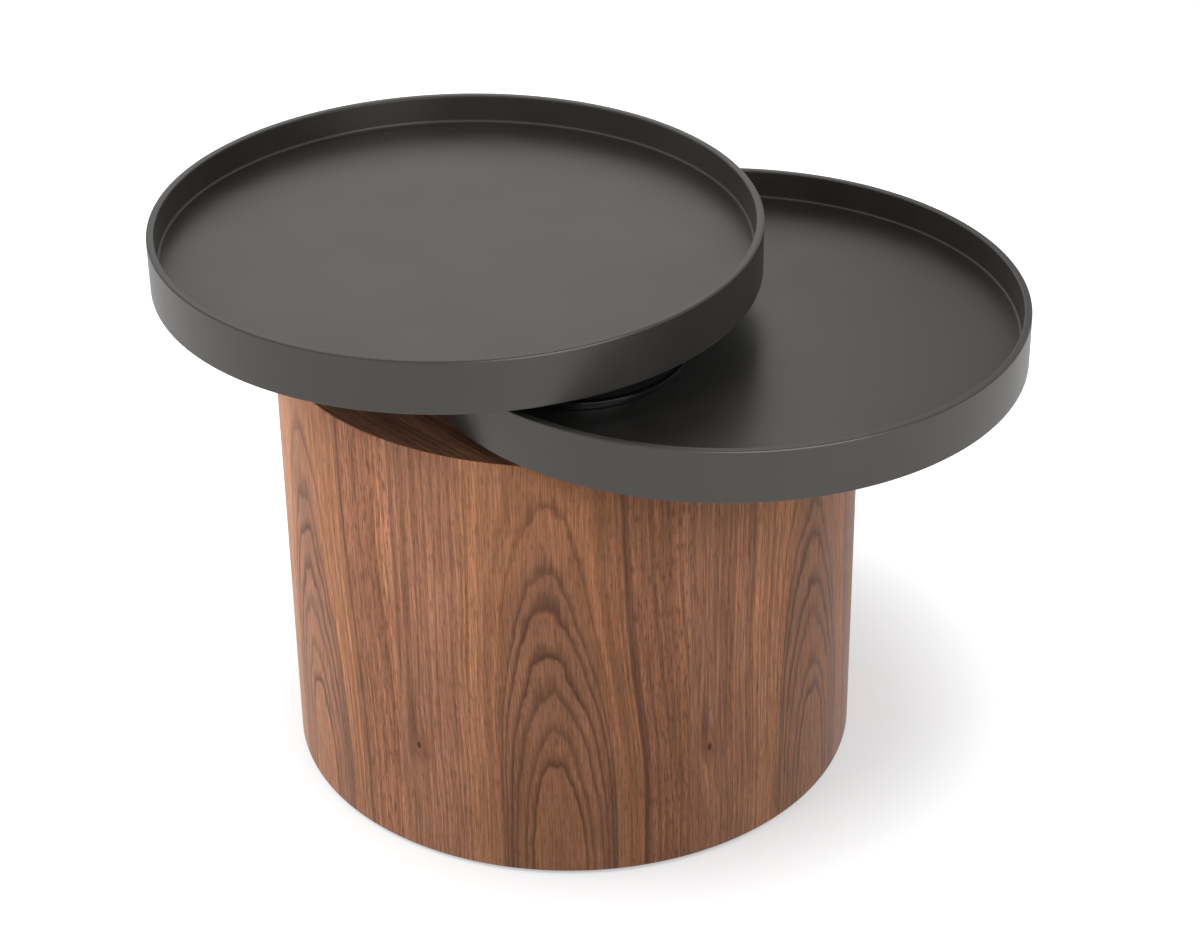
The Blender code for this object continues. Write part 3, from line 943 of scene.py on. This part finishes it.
# %% [markdown]
# ## Spacer and plinth
# A block of board lifts the upper tray over the lower tray's rim, and a plinth of the same board carries
# the drum just off the floor. Both are rolled with black paint, which leaves a coarser skin than a spray
# gun. The block's edges are sanded round. The plinth hides in its own shade, so its solid does.

# %% Spacer block and plinth
EASED_BOARD = 0.0012
SPACER_STEP = 0.0035

board = coat(
    "black_board",
    colour(11, 11, 11),
    colour(15, 15, 15),
    roughness=(0.52, 0.66),
    waves=40.0,
    skin_waves=500.0,
    skin_depth=0.00008,
    even={"Specular IOR Level": 0.1},
)
bottom, top = levels("spacer_block")
spacer_radius = FLANGE_RADIUS - SPACER_STEP
bm = turn_outline([(0, bottom), (spacer_radius, bottom), (spacer_radius, top), (0, top)], pivot)
ease(bm, EASED_BOARD)
finished_piece("spacer_turned", bm, board, "upper_tray", "black_board", "spacer_block")
dress(board, "base_plinth")

# %% [markdown]
# ## Frame inside the drum
# The formers and the posts between them never show, but the part may be opened up later, so they get bare
# plywood: pale, with long soft streaks along the grain. On the formers the grain lies flat, and on the
# posts it stands upright, so a Mapping node turns the same sum.

# %% Plywood
PLY_WAVES = (4.0, 60.0, 60.0)
PLY_FINER = 14.0
PLY_RELIEF = 0.0001
PLY_ROUGHNESS = (0.6, 0.75)
PLY_TONES = (
    (0.3, colour(178, 146, 106)),
    (0.55, colour(200, 172, 134)),
    (0.7, colour(208, 182, 146)),
)


def plywood(name, turn):
    """Bare plywood with its grain along x, or along what x is turned to."""
    finish, tree, shader = new_finish(name, {"Specular IOR Level": 0.3})
    turned = node(tree, "Mapping", {"Vector": place_on(tree), "Rotation": turn})
    long_place = node(tree, "VectorMath", (turned, PLY_WAVES), operation="MULTIPLY")
    streaks = grain(tree, long_place, 1.0, detail=5.0)
    fibres = grain(tree, long_place, PLY_FINER)
    shade = tones(tree, streaks, *PLY_TONES)
    roughness = band(tree, streaks, *NOISE_SPAN, *PLY_ROUGHNESS)
    wire_finish(tree, shader, shade, roughness, fibres, PLY_RELIEF)
    return finish


FORMERS = [name for name in frame["nodes"] if name.endswith("_former")]
POSTS = [name for name in frame["nodes"] if "_upright_" in name]
dress(plywood("plywood_flat", (0, 0, 0)), *FORMERS)
dress(plywood("plywood_upright", (0, math.pi / 2, 0)), *POSTS)

# %% [markdown]
# ## Screws
# Pan head screws hold the rings, the spacer and the plinth. A screw's solid is an eight-sided peg with a
# flat head. Here it is turned with a point and a domed head, and the head gets a cross for the driver: a
# loop in the shape of a cross is bridged to the rim of the dome, and pulled down.

# %% Screws
SCREW_STEPS = 24
SHANK_RADIUS = 0.0016
TIP_RADIUS = 0.4 * SHANK_RADIUS
TIP_LENGTH = 0.0002
POINT_LENGTH = 0.0022
HEAD_RADIUS = 0.0032
HEAD_HEIGHT = 0.002
HEAD_EDGE = 0.0009
DOME_RADIUS = 0.86 * HEAD_RADIUS
DOME_DROP = 0.0003
CROWN_RADIUS = 0.60 * HEAD_RADIUS
CROSS_LONG = 0.0013
CROSS_WIDE = 0.00035
CROSS_DEEP = 0.0011

zinc = coat(
    "zinc_steel",
    colour(164, 164, 162),
    colour(178, 178, 175),
    roughness=(0.28, 0.42),
    waves=400.0,
    skin_waves=3000.0,
    skin_depth=0.00001,
    even={"Metallic": 1.0},
)


def cross_recess(bm, crown):
    """Closes the open crown of a screw's head with a sunk cross."""
    rim = [edge for edge in bm.edges if edge.is_boundary]
    arm = [(CROSS_LONG, -CROSS_WIDE), (CROSS_LONG, CROSS_WIDE), (CROSS_WIDE, CROSS_WIDE)]
    corners = []
    for quarter in range(4):
        turn = Matrix.Rotation(quarter * math.pi / 2, 3, "Z")
        corners += [bm.verts.new(turn @ Vector((x, y, 0)) + crown) for x, y in arm]
    cross = [bm.edges.new(pair) for pair in zip(corners, corners[1:] + corners[:1])]
    bmesh.ops.bridge_loops(bm, edges=rim + cross)
    pulled = bmesh.ops.extrude_edge_only(bm, edges=cross)["geom"]
    sunk = [part for part in pulled if isinstance(part, bmesh.types.BMVert)]
    bmesh.ops.translate(bm, vec=(0, 0, -CROSS_DEEP), verts=sunk)
    bmesh.ops.contextual_create(bm, geom=[edge for edge in bm.edges if edge.is_boundary])


def screw(name, body, head_up):
    """A screw made with its head up, and turned over where the solid's head is down."""
    low, high = levels(name)
    centre = middle(name)
    under = high - HEAD_HEIGHT
    bm = turn_outline(
        [
            (0, low),
            (TIP_RADIUS, low + TIP_LENGTH),
            (SHANK_RADIUS, low + POINT_LENGTH),
            (SHANK_RADIUS, under),
            (HEAD_RADIUS, under),
            (HEAD_RADIUS, under + HEAD_EDGE),
            (DOME_RADIUS, high - DOME_DROP),
            (CROWN_RADIUS, high),
        ],
        centre,
        SCREW_STEPS,
    )
    cross_recess(bm, centre + Vector((0, 0, high)))
    if not head_up:
        spot = centre + Vector((0, 0, (low + high) / 2))
        over = Matrix.Rotation(math.pi, 3, "X")
        bmesh.ops.rotate(bm, cent=spot, matrix=over, verts=bm.verts)
    bmesh.ops.recalc_face_normals(bm, faces=bm.faces)
    finished_piece(f"{name}_turned", bm, zinc, body, "zinc_steel", name)


SCREWS_IN_A_SET = 4
SCREW_BODIES = {
    "plinth_screw": "drum",
    "lower_inner_screw": "drum",
    "lower_outer_screw": "lower_tray",
    "upper_inner_screw": "lower_tray",
    "upper_outer_screw": "upper_tray",
    "spacer_screw": "upper_tray",
}
for screws, body in SCREW_BODIES.items():
    for number in range(1, SCREWS_IN_A_SET + 1):
        screw(f"{screws}_{number}", body, head_up="inner" in screws)
